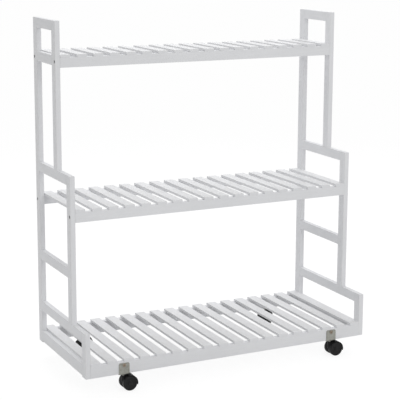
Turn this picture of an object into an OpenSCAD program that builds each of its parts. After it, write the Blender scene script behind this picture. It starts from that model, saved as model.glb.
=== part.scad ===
// Rolling plant stand with three stepped shelves of slats between two side frames,
// on four swivelling twin-wheel casters. The origin is on the floor, under the centre
// of the stand. X runs along the width, Y from front to back, and Z is up.

/* [Stand] */
// Width over the outer faces of the two side frames
stand_width = 800; // [560:1:1200]
// Height of the side frames, from the underside of their feet to their top
frame_height = 857; // [700:1:1200]
// Height of the middle step of the side frames above their feet
middle_step = 487; // [430:1:700]
// Height of the lower step of the side frames above their feet
lower_step = 114; // [70:1:190]
// Height of the top of the rung between the two steps, above the feet
rung_height = 253; // [220:1:360]

/* [Sticks of the side frames] */
// Thickness of the sticks, across the width of the stand
stick_thick = 13; // [12:0.5:24]
// Depth of the upright posts, from front to back
post_deep = 25; // [24:0.5:40]
// Height of the side rails' section
side_rail_tall = 25; // [20:0.5:40]
// Height of the bottom side rail's section
bottom_rail_tall = 29; // [20:0.5:34]
// Gap from the underside of the feet up to the bottom side rail
bottom_rail_lift = 3.5; // [0:0.5:8]
// How far the side rail beside the top shelf stands above that shelf's long rails
shelf_rail_rise = 5; // [0:0.5:20]
// Rounding along the edges of all sticks and long rails
edge_round = 1; // [0.5:0.1:2.5]

/* [Shelves] */
// Depth of the top shelf, from the front of the upper posts to the back
top_deep = 160; // [110:1:215]
// Depth of the middle shelf, from the front of the middle posts to the back
middle_deep = 249; // [195:1:300]
// Depth of the bottom shelf, which is the depth of the stand
bottom_deep = 338; // [285:1:480]
// Drop from the top of the side frames to the top of the top shelf's long rails
top_drop = 90; // [60:1:130]
// Drop from the middle step to the top of the middle shelf's long rails
middle_drop = 91; // [60:1:130]
// Height of the section of the top and middle shelves' long rails
long_rail_tall = 25; // [24:0.5:40]
// Height of the section of the bottom shelf's long rails, which start level with the feet
bottom_long_tall = 31; // [30:0.5:45]
// Thickness of the long rails, from front to back
long_rail_thick = 13; // [12:0.5:15]

/* [Slats] */
// Number of slats in each shelf
slat_count = 18; // [6:1:20]
// Width of a slat
slat_wide = 26; // [16:0.5:34]
// Thickness of a slat
slat_thick = 7; // [6.5:0.5:14]
// Rounding along the upper edges of a slat
slat_round = 2; // [0.5:0.1:3]
// Gap between the outermost slats and the side frames
slat_side_gap = 0.3; // [0.1:0.1:5]
// Diameter of the hidden pins that hold the slats
pin_d = 1.5; // [1:0.1:2.4]
// How far a pin reaches up into its slat
pin_in_slat = 5; // [3:0.5:5.5]
// How far a pin reaches down into its rail
pin_in_rail = 5; // [3:0.5:6]

/* [Bolts and dowels] */
// Thread diameter of the bolts that hold the top and middle shelves
bolt_d = 5; // [4:0.5:6]
// Diameter of a bolt's head
bolt_head_d = 8.5; // [7.5:0.1:10]
// Height of a bolt's head
bolt_head_tall = 4.5; // [3:0.1:5.5]
// Key size of the six-sided socket in a bolt's head
bolt_key = 4; // [3:0.1:5]
// Depth of the socket in a bolt's head
bolt_key_deep = 2.5; // [1:0.1:3]
// Depth of the recess in which a bolt's head sits
bolt_recess = 6; // [5.5:0.1:8]
// Gap all round a bolt's head in its recess
bolt_recess_gap = 0.25; // [0.1:0.05:0.6]
// How far a bolt reaches past the middle of its barrel nut
bolt_overrun = 6; // [4:0.5:9]
// Height of the bolts above the middle of a long rail's section
bolt_rise = 2; // [1:0.5:3]
// Diameter of a barrel nut
nut_d = 8; // [7:0.5:10]
// Length of a barrel nut
nut_long = 10; // [8:0.5:11]
// Distance from the end of a long rail to its barrel nut
nut_inset = 30; // [26:1:36]
// Diameter of the wooden dowels
dowel_d = 6; // [4:0.5:7]
// Length of the dowels in the side frames
frame_dowel_long = 24; // [18:1:28]
// Wood left in a post between a side rail's dowel and the recess of a bolt
dowel_wall = 2; // [1:0.5:4]
// How far a shelf's dowel reaches into its post
dowel_in_post = 8; // [5:0.5:9]
// How far a shelf's dowel reaches into its long rail
dowel_in_rail = 16; // [12:1:22]
// Distance from a bolt down to the dowel that keeps the rail from turning
stop_drop = 9; // [7.5:0.5:9.5]
// Distance between the two dowels at each end of the bottom long rails
bottom_dowel_gap = 11; // [9:0.5:12]

/* [Caster brackets] */
// Distance from the ends of the stand to the swivel axes of the front casters
caster_inset = 101; // [70:1:140]
// How much farther from the ends than the front casters the rear ones sit
rear_caster_in = 9; // [0:1:20]
// Sheet thickness of the brackets
bracket_sheet = 2; // [1.5:0.1:3]
// Width of a bracket
bracket_wide = 28; // [28:1:40]
// How far a bracket's upright leg ends below the top of the rail
bracket_drop = 3; // [1:0.5:5]
// Rounding of the corners of a bracket's legs
bracket_round = 4; // [1:0.5:6]
// Distance of the face screw below the top of the bracket's upright leg
face_screw_drop = 5.5; // [5:0.5:12]
// Diameter of the face screw
face_screw_d = 4; // [3:0.1:4.5]
// Diameter of the face screw's head
face_head_d = 9; // [7:0.1:9.5]
// Height of the face screw's head
face_head_tall = 2.6; // [1.5:0.1:4]
// How far the face screw reaches into the rail
face_screw_deep = 10; // [6:0.5:11]
// Diameter of the screws under the rail
plate_screw_d = 3; // [2.5:0.1:3.5]
// Diameter of the head of the screws under the rail
plate_head_d = 6; // [5:0.1:7]
// How far the screws under the rail reach into it
plate_screw_deep = 12; // [8:0.5:15]
// Distance of the screws under the rail from the swivel axis
plate_screw_out = 10; // [9.5:0.5:11]
// Width of the arms of the cross recess in a screw's head
cross_wide = 1; // [0.6:0.1:1.4]
// Span of the cross recess in a screw's head
cross_span = 4; // [3:0.1:4.5]
// Depth of the cross recess in a screw's head
cross_deep = 1.2; // [0.5:0.1:1.4]

/* [Caster stems] */
// Diameter of the swivel pin
stem_d = 7; // [6:0.1:7.4]
// Diameter of the collar above the hood
collar_d = 9; // [8.5:0.1:10]
// Diameter of the riveted head over the bracket
rivet_d = 9; // [8.5:0.1:10]
// Height of the riveted head over the bracket
rivet_tall = 1.5; // [1:0.1:2.5]
// How far the recess in the rail clears the riveted head
rivet_gap = 0.5; // [0.2:0.1:1]
// Length of the swivel pin inside the hood
stem_in_hood = 17; // [15:0.5:18]

/* [Caster hoods] */
// Thickness of the web between the two wheels
web_thick = 11; // [10.5:0.1:14]
// Height of the boss round the swivel pin
boss_tall = 20; // [18.5:0.5:21]
// Height of the top of the boss above the axle
boss_rise = 19; // [14:0.5:19.5]
// Radius of the web round the axle
web_hub_r = 16; // [5:0.5:17.5]
// Wall of the fender over the wheels
fender_wall = 1.5; // [1:0.1:3]
// Gap between the fender and the wheels
fender_gap = 0.8; // [0.5:0.1:2]
// Gap between the top of the fender and the bracket
fender_top_gap = 1.7; // [0.8:0.1:8]
// Angle of the fender's lower end, measured up from level behind the axle
fender_from = -15; // [-40:1:10]
// Angle of the fender's upper end, measured up from level behind the axle
fender_to = 100; // [80:1:105]
// Distance of the axle behind the swivel axis
trail = 13; // [11.5:0.5:15]

/* [Caster wheels] */
// Diameter of a wheel
wheel_d = 37; // [36:0.5:50]
// Width of a wheel
wheel_wide = 11; // [10:0.5:18]
// Gap between a wheel and the web
wheel_gap = 0.5; // [0.3:0.1:1.5]
// Rounding of the edges of the tread
wheel_round = 2; // [0.5:0.1:3]
// Diameter of the raised middle of a wheel's outer face
wheel_hub_d = 11; // [9:0.5:16]
// Width of the rim round the dish in a wheel's outer face
wheel_rim = 4; // [3:0.5:6]
// Depth of the dish in a wheel's outer face
wheel_dish = 1.4; // [0.5:0.1:2]
// Diameter of the axle
axle_d = 5; // [4:0.1:6]
// Wall left between the axle's bore and a wheel's outer face
wheel_cap = 1.7; // [1.2:0.1:3]

/* [Snap grooves and fits] */
// Depth of the grooves in the axles and swivel pins
snap_deep = 0.5; // [0.3:0.05:0.6]
// Width of the grooves in the axles and swivel pins
snap_wide = 1.6; // [1.2:0.1:2]
// Distance from the end of an axle or a swivel pin to its groove
snap_from_end = 1.5; // [1:0.1:2.5]
// Gap between a ring and the bottom of its groove
snap_ring_gap = 0.1; // [0.05:0.05:0.15]
// Gap between a ring and each side of its groove
snap_side_gap = 0.3; // [0.2:0.05:0.4]
// Running clearance of the axles and swivel pins, all round
running_fit = 0.05; // [0.02:0.01:0.1]
// Clearance at the end of a pin and between faces that turn on each other
end_gap = 0.3; // [0.2:0.05:0.5]
// Clearance round dowels, bolts, nuts, screws and pins in their holes
hole_fit = 0.05; // [0.02:0.01:0.1]

/* [Resting turn of the casters] */
// Direction in which the front left caster trails, turned from the stand's right
front_left_turn = 0; // [-180:1:360]
// Direction in which the front right caster trails, turned from the stand's right
front_right_turn = 0; // [-180:1:360]
// Direction in which the rear left caster trails, turned from the stand's right
rear_left_turn = -50; // [-180:1:360]
// Direction in which the rear right caster trails, turned from the stand's right
rear_right_turn = 220; // [-180:1:360]

/* [Hidden] */
$fn = 32;

// How far a cutting shape runs past the face that it opens
over = 1;

// Heights of the caster, up from the floor
wheel_r = wheel_d / 2;
fender_inner = wheel_r + fender_gap;
fender_outer = fender_inner + fender_wall;
plate_low = wheel_r + fender_outer + fender_top_gap;
boss_top = wheel_r + boss_rise;
boss_low = boss_top - boss_tall;
collar_low = boss_top + end_gap;
stem_low = collar_low - stem_in_hood;

// Height of the feet above the floor
foot = plate_low + bracket_sheet;

// Depths, from the back face forward, with the middle of the stand at zero
back_y = bottom_deep / 2;
front_y = -back_y;
rear_post_y = back_y - post_deep;
upper_post_y = back_y - top_deep;
middle_post_y = back_y - middle_deep;
inner_x = stand_width / 2 - stick_thick;
caster_x = stand_width / 2 - caster_inset;
rear_caster_x = caster_x - rear_caster_in;
caster_y = back_y - long_rail_thick / 2;
stick_mid_x = inner_x + stick_thick / 2;

// Heights of the tops of the bolted shelves' long rails above the feet
top_level = frame_height - top_drop;
middle_level = middle_step - middle_drop;

// Height of a bracket's upright leg and of its screw above the underside of the rail
bracket_tall = bottom_long_tall - bracket_drop;
face_screw_height = bracket_tall - face_screw_drop;

// How far a side rail's dowel reaches into a post, behind the bolts at its other face
dowel_in_upright = post_deep - long_rail_thick / 2 - bolt_head_d / 2 - bolt_recess_gap - dowel_wall;

// Heights of the undersides of the side rails
top_rail_z = foot + frame_height - side_rail_tall;
shelf_rail_z = foot + top_level + shelf_rail_rise - side_rail_tall;
middle_rail_z = foot + middle_step - side_rail_tall;
rung_z = foot + rung_height - side_rail_tall;
lower_rail_z = foot + lower_step - side_rail_tall;
bottom_rail_z = foot + bottom_rail_lift;

// Pitch of the slats, which fill the width between the side frames
first_slat_x = -inner_x + slat_side_gap + slat_wide / 2;
slat_pitch = -2 * first_slat_x / (slat_count - 1);

// Each side rail as its front end, its underside and its height
side_rails = [
    [upper_post_y + post_deep, top_rail_z, side_rail_tall],
    [upper_post_y + post_deep, shelf_rail_z, side_rail_tall],
    [middle_post_y + post_deep, middle_rail_z, side_rail_tall],
    [middle_post_y + post_deep, rung_z, side_rail_tall],
    [front_y + post_deep, lower_rail_z, side_rail_tall],
    [front_y + post_deep, bottom_rail_z, bottom_rail_tall]
];

paint = [0.92, 0.92, 0.91];
beech = [0.78, 0.62, 0.43];
zinc = [0.62, 0.61, 0.58];
dark_steel = [0.28, 0.28, 0.29];
brown_steel = [0.45, 0.36, 0.25];
black = [0.09, 0.09, 0.1];

// Rectangle with its corner at the origin and its corners rounded
module round_rect(wide, tall, round) {
    translate([round, 0])
        square([wide - 2 * round, tall]);
    translate([0, round])
        square([wide, tall - 2 * round]);
    for (x = [round, wide - round], y = [round, tall - round])
        translate([x, y])
            circle(r = round);
}

// Bars with eased edges, from a corner at the origin along X, Y or Z
module bar_x(long, deep, tall) {
    rotate([90, 0, 90])
        linear_extrude(long)
            round_rect(deep, tall, edge_round);
}

module bar_y(thick, long, tall) {
    translate([0, long, 0])
        rotate([90, 0, 0])
            linear_extrude(long)
                round_rect(thick, tall, edge_round);
}

module bar_z(thick, deep, long) {
    linear_extrude(long)
        round_rect(thick, deep, edge_round);
}

// Cylinders from the origin along X or Y
module rod_x(d, long) {
    rotate([0, 90, 0])
        cylinder(d = d, h = long);
}

module rod_y(d, long) {
    rotate([-90, 0, 0])
        cylinder(d = d, h = long);
}

// The left side is the right side mirrored
module on_left() {
    mirror([1, 0, 0])
        children();
}

// All dowels of the right side frame, or their holes when they are grown
module side_dowels(grow) {
    full = frame_dowel_long + 2 * grow;
    for (rail = side_rails) {
        z = rail[1] + rail[2] / 2;
        translate([stick_mid_x, rail[0] - dowel_in_upright - grow, z])
            rod_y(dowel_d + 2 * grow, full);
        translate([stick_mid_x, rear_post_y + dowel_in_upright + grow - full, z])
            rod_y(dowel_d + 2 * grow, full);
    }
    for (foot_of = [[upper_post_y, foot + middle_step], [middle_post_y, foot + lower_step]])
        translate([stick_mid_x, foot_of[0] + post_deep / 2, foot_of[1] - full / 2])
            cylinder(d = dowel_d + 2 * grow, h = full);
}

// Places its children at both ends of a long rail, on the rail's middle line, with their
// own X pointing out through the post and their own Y to the inside of the shelf
module at_rail_ends(deep, z, is_front) {
    y = is_front ? back_y - deep + long_rail_thick / 2 : back_y - long_rail_thick / 2;
    for (side = [0, 1])
        mirror([side, 0, 0])
            translate([inner_x, y, z])
                mirror([0, is_front ? 0 : 1, 0])
                    children();
}

// Height of the bolts of a shelf whose long rails have their top at this level
function bolt_z(level) = foot + level - long_rail_tall / 2 + bolt_rise;

module shelf_bolt() {
    color(dark_steel)
        difference() {
            union() {
                translate([stick_thick - bolt_recess, 0, 0])
                    rod_x(bolt_head_d, bolt_head_tall);
                translate([-nut_inset - bolt_overrun, 0, 0])
                    rod_x(bolt_d, nut_inset + bolt_overrun + stick_thick - bolt_recess);
            }
            translate([stick_thick - bolt_recess + bolt_head_tall - bolt_key_deep, 0, 0])
                rotate([0, 90, 0])
                    cylinder(d = bolt_key / cos(30), h = bolt_key_deep + over, $fn = 6);
        }
}

module bolt_hole() {
    translate([stick_thick - bolt_recess, 0, 0])
        rod_x(bolt_head_d + 2 * bolt_recess_gap, bolt_recess + over);
    translate([-nut_inset - bolt_overrun - hole_fit, 0, 0])
        rod_x(bolt_d + 2 * hole_fit, nut_inset + bolt_overrun + stick_thick);
}

module barrel_nut() {
    color(zinc)
        difference() {
            translate([-nut_inset, -nut_long / 2, 0])
                rod_y(nut_d, nut_long);
            translate([-nut_inset - nut_d, 0, 0])
                rod_x(bolt_d + 2 * hole_fit, 2 * nut_d);
        }
}

module nut_hole() {
    translate([-nut_inset, -nut_long / 2 - hole_fit, 0])
        rod_y(nut_d + 2 * hole_fit, nut_long / 2 + hole_fit + long_rail_thick / 2 + over);
}

module shelf_dowel(grow) {
    translate([-dowel_in_rail - grow, 0, 0])
        rod_x(dowel_d + 2 * grow, dowel_in_rail + dowel_in_post + 2 * grow);
}

module bottom_dowels(grow) {
    for (up = [-0.5, 0.5])
        translate([0, 0, up * bottom_dowel_gap])
            shelf_dowel(grow);
}

// All that is drilled at the ends of a bolted long rail
module bolted_joint() {
    bolt_hole();
    nut_hole();
    translate([0, 0, -stop_drop])
        shelf_dowel(hole_fit);
}

// All that the shelves' long rails need in the posts and in their own ends
module shelf_joints() {
    for (is_front = [true, false]) {
        at_rail_ends(top_deep, bolt_z(top_level), is_front)
            bolted_joint();
        at_rail_ends(middle_deep, bolt_z(middle_level), is_front)
            bolted_joint();
        at_rail_ends(bottom_deep, foot + bottom_long_tall / 2, is_front)
            bottom_dowels(hole_fit);
    }
}

// A painted upright post of the right side frame, with its free ends eased: the top
// always, and the foot unless the post stands on a rail
module post(y, low, high, on_rail) {
    drop = on_rail ? edge_round : 0;
    color(paint)
        difference() {
            intersection() {
                translate([inner_x, y, foot + low])
                    bar_z(stick_thick, post_deep, high - low);
                translate([inner_x, y, foot + low - drop]) {
                    intersection() {
                        bar_y(stick_thick, post_deep, high - low + drop);
                        bar_x(stick_thick, post_deep, high - low + drop);
                    }
                }
            }
            side_dowels(hole_fit);
            shelf_joints();
        }
}

module rear_post() {
    post(rear_post_y, 0, frame_height, false);
}

module upper_post() {
    post(upper_post_y, middle_step, frame_height, true);
}

module middle_post() {
    post(middle_post_y, lower_step, middle_step, true);
}

module front_post() {
    post(front_y, 0, lower_step, false);
}

// A painted side rail of the right side frame, from the back of a post to the rear post
module side_rail(index) {
    rail = side_rails[index];
    color(paint)
        difference() {
            translate([inner_x, rail[0], rail[1]])
                bar_y(stick_thick, rear_post_y - rail[0], rail[2]);
            side_dowels(hole_fit);
        }
}

module top_rail() {
    side_rail(0);
}

module shelf_rail() {
    side_rail(1);
}

module middle_rail() {
    side_rail(2);
}

module rung() {
    side_rail(3);
}

module lower_rail() {
    side_rail(4);
}

module bottom_rail() {
    side_rail(5);
}

// Places its children at each slat, at the height of the top of the long rails
module at_slats(level) {
    for (i = [0 : slat_count - 1])
        translate([first_slat_x + i * slat_pitch, 0, foot + level])
            children();
}

// The two pins under a slat, in the middle of the front and back rails
module pins_of(deep, grow) {
    for (y = [back_y - deep + long_rail_thick / 2, back_y - long_rail_thick / 2])
        translate([0, y, -pin_in_rail - grow])
            cylinder(d = pin_d + 2 * grow, h = pin_in_rail + pin_in_slat + 2 * grow, $fn = 16);
}

// Outline of a slat's section or of its side, with only the upper corners rounded
module slat_outline(wide) {
    square([wide, slat_thick - slat_round]);
    translate([slat_round, 0])
        square([wide - 2 * slat_round, slat_thick]);
    for (x = [slat_round, wide - slat_round])
        translate([x, slat_thick - slat_round])
            circle(r = slat_round);
}

module slat(deep) {
    translate([-slat_wide / 2, back_y - deep, 0])
        intersection() {
            translate([0, deep, 0])
                rotate([90, 0, 0])
                    linear_extrude(deep)
                        slat_outline(slat_wide);
            rotate([90, 0, 90])
                linear_extrude(slat_wide)
                    slat_outline(deep);
        }
}

module slats(deep, level) {
    color(paint)
        at_slats(level)
            difference() {
                slat(deep);
                pins_of(deep, hole_fit);
            }
}

// A painted long rail of the top or the middle shelf
module bolted_rail(deep, level, is_front) {
    y = is_front ? back_y - deep : back_y - long_rail_thick;
    color(paint)
        difference() {
            translate([-inner_x, y, foot + level - long_rail_tall])
                bar_x(2 * inner_x, long_rail_thick, long_rail_tall);
            at_rail_ends(deep, bolt_z(level), is_front)
                bolted_joint();
            at_slats(level)
                pins_of(deep, hole_fit);
        }
}

// Places its children at one caster, on the floor under its swivel axis, with their own Y
// pointing from the rail's outer face inward
module at_bracket(side, is_front) {
    mirror([0, is_front ? 0 : 1, 0])
        translate([side * (is_front ? caster_x : rear_caster_x), -caster_y, 0])
            children();
}

module at_brackets() {
    for (side = [-1, 1], is_front = [true, false])
        at_bracket(side, is_front)
            children();
}

// Cross recess that opens upward from this height
module cross_recess() {
    for (turn = [0, 90])
        rotate([0, 0, turn])
            translate([-cross_span / 2, -cross_wide / 2, -cross_deep])
                cube([cross_span, cross_wide, cross_deep + over]);
}

// Screw through the bracket's upright leg into the rail's outer face
module face_screw() {
    outer_y = -long_rail_thick / 2 - bracket_sheet;
    color(brown_steel)
        translate([0, outer_y, foot + face_screw_height])
            difference() {
                union() {
                    rod_y(face_screw_d, bracket_sheet + face_screw_deep);
                    intersection() {
                        translate([0, -face_head_tall, 0])
                            rod_y(face_head_d, face_head_tall);
                        translate([0, face_head_r() - face_head_tall, 0])
                            sphere(r = face_head_r(), $fn = 64);
                    }
                }
                translate([0, -face_head_tall, 0])
                    rotate([90, 0, 0])
                        cross_recess();
            }
}

// Radius of the domed head, which meets its own rim at half its height
function face_head_r() =
    let (rise = face_head_tall / 2) (face_head_d * face_head_d / 4 + rise * rise) / (2 * rise);

module face_screw_hole() {
    translate([0, -long_rail_thick / 2 - bracket_sheet - over, foot + face_screw_height])
        rod_y(face_screw_d + 2 * hole_fit, over + bracket_sheet + face_screw_deep + hole_fit);
}

// Places its children at the two screws under the rail, at the underside of the bracket
module at_plate_screws() {
    for (side = [-1, 1])
        translate([side * plate_screw_out, 0, plate_low])
            children();
}

// Countersunk screw up through the bracket's lower leg, grown all round for its hole
module plate_screw_body(grow) {
    cone_tall = (plate_head_d - plate_screw_d) / 2;
    cylinder(d1 = plate_head_d + 2 * grow, d2 = plate_screw_d + 2 * grow, h = cone_tall, $fn = 48);
    cylinder(d = plate_screw_d + 2 * grow, h = bracket_sheet + plate_screw_deep + grow);
}

module plate_screw() {
    color(zinc)
        difference() {
            plate_screw_body(0);
            mirror([0, 0, 1])
                cross_recess();
        }
}

// Bent steel bracket: an upright leg on the rail's face and a lower leg under the rail,
// with the free corners of both legs rounded
module bracket() {
    reach = bracket_sheet + bracket_round;
    color(zinc)
        translate([-bracket_wide / 2, -long_rail_thick / 2, foot])
            difference() {
                intersection() {
                    rotate([90, 0, 90])
                        linear_extrude(bracket_wide)
                            bracket_section();
                    union() {
                        translate([0, over, -reach])
                            rotate([90, 0, 0])
                                linear_extrude(bracket_sheet + 2 * over)
                                    round_rect(bracket_wide, reach + bracket_tall, bracket_round);
                        translate([0, -reach, -bracket_sheet - over])
                            linear_extrude(bracket_sheet + 2 * over)
                                round_rect(bracket_wide, reach + long_rail_thick, bracket_round);
                    }
                }
                translate([bracket_wide / 2, long_rail_thick / 2, -foot]) {
                    face_screw_hole();
                    at_plate_screws()
                        plate_screw_body(hole_fit);
                    translate([0, 0, plate_low - over])
                        cylinder(d = stem_d + 2 * hole_fit, h = bracket_sheet + 2 * over);
                }
            }
}

// Section of the bracket, with its inner corner at the origin
module bracket_section() {
    translate([-bracket_sheet, 0])
        square([bracket_sheet, bracket_tall]);
    translate([0, -bracket_sheet])
        square([long_rail_thick, bracket_sheet]);
    difference() {
        circle(r = bracket_sheet);
        square(2 * bracket_sheet);
    }
}

// Recess in the rail's underside over the riveted head of the stem
module rivet_recess() {
    translate([0, 0, foot - over])
        cylinder(d = rivet_d + 2 * rivet_gap, h = over + rivet_tall + rivet_gap);
}

// A painted long rail of the bottom shelf, drilled for its dowels, pins and casters
module bottom_long_rail(is_front) {
    y = is_front ? front_y : back_y - long_rail_thick;
    color(paint)
        difference() {
            translate([-inner_x, y, foot])
                bar_x(2 * inner_x, long_rail_thick, bottom_long_tall);
            at_rail_ends(bottom_deep, foot + bottom_long_tall / 2, is_front)
                bottom_dowels(hole_fit);
            at_slats(bottom_long_tall)
                pins_of(bottom_deep, hole_fit);
            for (side = [-1, 1])
                at_bracket(side, is_front) {
                    face_screw_hole();
                    at_plate_screws()
                        plate_screw_body(hole_fit);
                    rivet_recess();
                }
        }
}

// Section of a turned pin with a snap groove near its lower end
module grooved_pin(d, long) {
    difference() {
        square([d / 2, long]);
        translate([d / 2 - snap_deep, snap_from_end])
            square([snap_deep + over, snap_wide]);
    }
}

// Section of the bore for that pin, with a ring that reaches into the groove
module ringed_bore(d, long) {
    difference() {
        translate([0, -end_gap])
            square([d / 2 + running_fit, long + end_gap]);
        translate([d / 2 - snap_deep + snap_ring_gap, snap_from_end + snap_side_gap])
            square([snap_deep + running_fit, snap_wide - 2 * snap_side_gap]);
    }
}

// Swivel stem, riveted into the bracket, with a collar over the hood
module stem() {
    color(zinc) {
        translate([0, 0, stem_low])
            rotate_extrude()
                grooved_pin(stem_d, foot - stem_low);
        translate([0, 0, collar_low])
            cylinder(d = collar_d, h = plate_low - collar_low);
        translate([0, 0, foot])
            cylinder(d = rivet_d, h = rivet_tall);
    }
}

// Turns the side view of a caster upright, round the axle
module side_view(thick) {
    translate([trail, 0, wheel_r])
        rotate([90, 0, 0])
            linear_extrude(thick, center = true)
                children();
}

// Sector of a disc round the axle, from the fender's lower end to its upper end
module fender_sector(reach) {
    steps = 4;
    swing = fender_to - fender_from;
    fan = [for (i = [0 : steps]) let (a = fender_from + i * swing / steps) [cos(a), sin(a)]];
    polygon(concat([[0, 0]], 2 * reach * fan));
}

// Hood: the web between the wheels, the boss round the swivel pin and the fender
module hood() {
    color(black)
        difference() {
            union() {
                side_view(web_thick) {
                    intersection() {
                        circle(r = fender_outer, $fn = 96);
                        fender_sector(fender_outer);
                    }
                    translate([-trail, boss_rise - boss_tall])
                        square([trail, boss_tall]);
                    circle(r = web_hub_r);
                }
                side_view(web_thick + 2 * (wheel_gap + wheel_wide))
                    intersection() {
                        difference() {
                            circle(r = fender_outer, $fn = 96);
                            circle(r = fender_inner, $fn = 96);
                        }
                        fender_sector(fender_outer);
                    }
                translate([0, 0, boss_low])
                    cylinder(d = web_thick, h = boss_tall);
            }
            translate([0, 0, stem_low])
                rotate_extrude()
                    ringed_bore(stem_d, boss_top - stem_low + over);
            translate([trail, -web_thick, wheel_r])
                rod_y(axle_d + 2 * hole_fit, 2 * web_thick);
        }
}

// Half the length of the axle, up to the caps of the wheels
axle_half = web_thick / 2 + wheel_gap + wheel_wide - wheel_cap - end_gap;

module axle() {
    color(zinc)
        translate([trail, 0, wheel_r])
            for (turn = [-90, 90])
                rotate([turn, 0, 0])
                    translate([0, 0, axle_half])
                        mirror([0, 0, 1])
                            rotate_extrude()
                                grooved_pin(axle_d, axle_half);
}

// Half section of a wheel, with its inner face at zero
module wheel_section() {
    difference() {
        union() {
            square([wheel_r - wheel_round, wheel_wide]);
            translate([0, wheel_round])
                square([wheel_r, wheel_wide - 2 * wheel_round]);
            for (y = [wheel_round, wheel_wide - wheel_round])
                translate([wheel_r - wheel_round, y])
                    circle(r = wheel_round);
        }
        translate([0, -over])
            mirror([1, 0])
                square([wheel_r, wheel_wide + 2 * over]);
        translate([wheel_hub_d / 2, wheel_wide - wheel_dish])
            square([wheel_r - wheel_rim - wheel_hub_d / 2, wheel_dish + over]);
        translate([0, wheel_wide - wheel_cap - end_gap])
            mirror([0, 1])
                ringed_bore(axle_d, axle_half);
    }
}

// The wheel on the axle's right as seen from behind the caster
module wheel_right() {
    color(black)
        translate([trail, web_thick / 2 + wheel_gap, wheel_r])
            rotate([-90, 0, 0])
                rotate_extrude($fn = 96)
                    wheel_section();
}

module wheel_left() {
    mirror([0, 1, 0])
        wheel_right();
}

// Places its children at one caster, turned to its resting direction
module at_caster(side, is_front, turn) {
    translate([side * (is_front ? caster_x : rear_caster_x), is_front ? -caster_y : caster_y, 0])
        rotate([0, 0, turn])
            children();
}

module at_front_left() {
    at_caster(-1, true, front_left_turn)
        children();
}

module at_front_right() {
    at_caster(1, true, front_right_turn)
        children();
}

module at_rear_left() {
    at_caster(-1, false, rear_left_turn)
        children();
}

module at_rear_right() {
    at_caster(1, false, rear_right_turn)
        children();
}

module shelf_bolts() {
    for (is_front = [true, false]) {
        at_rail_ends(top_deep, bolt_z(top_level), is_front)
            shelf_bolt();
        at_rail_ends(middle_deep, bolt_z(middle_level), is_front)
            shelf_bolt();
    }
}

module barrel_nuts() {
    for (is_front = [true, false]) {
        at_rail_ends(top_deep, bolt_z(top_level), is_front)
            barrel_nut();
        at_rail_ends(middle_deep, bolt_z(middle_level), is_front)
            barrel_nut();
    }
}

module frame_dowels() {
    color(beech) {
        side_dowels(0);
        on_left()
            side_dowels(0);
    }
}

module shelf_dowels() {
    color(beech)
        for (is_front = [true, false]) {
            at_rail_ends(top_deep, bolt_z(top_level) - stop_drop, is_front)
                shelf_dowel(0);
            at_rail_ends(middle_deep, bolt_z(middle_level) - stop_drop, is_front)
                shelf_dowel(0);
            at_rail_ends(bottom_deep, foot + bottom_long_tall / 2, is_front)
                bottom_dowels(0);
        }
}

module slat_pins() {
    color(zinc) {
        at_slats(top_level)
            pins_of(top_deep, 0);
        at_slats(middle_level)
            pins_of(middle_deep, 0);
        at_slats(bottom_long_tall)
            pins_of(bottom_deep, 0);
    }
}

on_left() rear_post();  // rear_post_left
rear_post();  // rear_post_right
on_left() upper_post();  // upper_post_left
upper_post();  // upper_post_right
on_left() middle_post();  // middle_post_left
middle_post();  // middle_post_right
on_left() front_post();  // front_post_left
front_post();  // front_post_right
on_left() top_rail();  // top_rail_left
top_rail();  // top_rail_right
on_left() shelf_rail();  // shelf_rail_left
shelf_rail();  // shelf_rail_right
on_left() middle_rail();  // middle_rail_left
middle_rail();  // middle_rail_right
on_left() rung();  // rung_left
rung();  // rung_right
on_left() lower_rail();  // lower_rail_left
lower_rail();  // lower_rail_right
on_left() bottom_rail();  // bottom_rail_left
bottom_rail();  // bottom_rail_right

bolted_rail(top_deep, top_level, true);  // top_front_rail
bolted_rail(top_deep, top_level, false);  // top_back_rail
slats(top_deep, top_level);  // top_slats
bolted_rail(middle_deep, middle_level, true);  // middle_front_rail
bolted_rail(middle_deep, middle_level, false);  // middle_back_rail
slats(middle_deep, middle_level);  // middle_slats
bottom_long_rail(true);  // bottom_front_rail
bottom_long_rail(false);  // bottom_back_rail
slats(bottom_deep, bottom_long_tall);  // bottom_slats

shelf_bolts();
barrel_nuts();
frame_dowels();
shelf_dowels();
slat_pins();

at_brackets() bracket();  // caster_brackets
at_brackets() face_screw();  // face_screws
at_brackets() at_plate_screws() plate_screw();  // plate_screws
at_brackets() stem();  // caster_stems

at_front_left() hood();  // front_left_hood
at_front_left() axle();  // front_left_axle
at_front_left() wheel_left();  // front_left_wheel_left
at_front_left() wheel_right();  // front_left_wheel_right
at_front_right() hood();  // front_right_hood
at_front_right() axle();  // front_right_axle
at_front_right() wheel_left();  // front_right_wheel_left
at_front_right() wheel_right();  // front_right_wheel_right
at_rear_left() hood();  // rear_left_hood
at_rear_left() axle();  // rear_left_axle
at_rear_left() wheel_left();  // rear_left_wheel_left
at_rear_left() wheel_right();  // rear_left_wheel_right
at_rear_right() hood();  // rear_right_hood
at_rear_right() axle();  // rear_right_axle
at_rear_right() wheel_left();  // rear_right_wheel_left
at_rear_right() wheel_right();  // rear_right_wheel_right
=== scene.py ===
import math
from functools import partial

import bmesh
import bpy
from mathutils import Matrix, Vector


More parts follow.
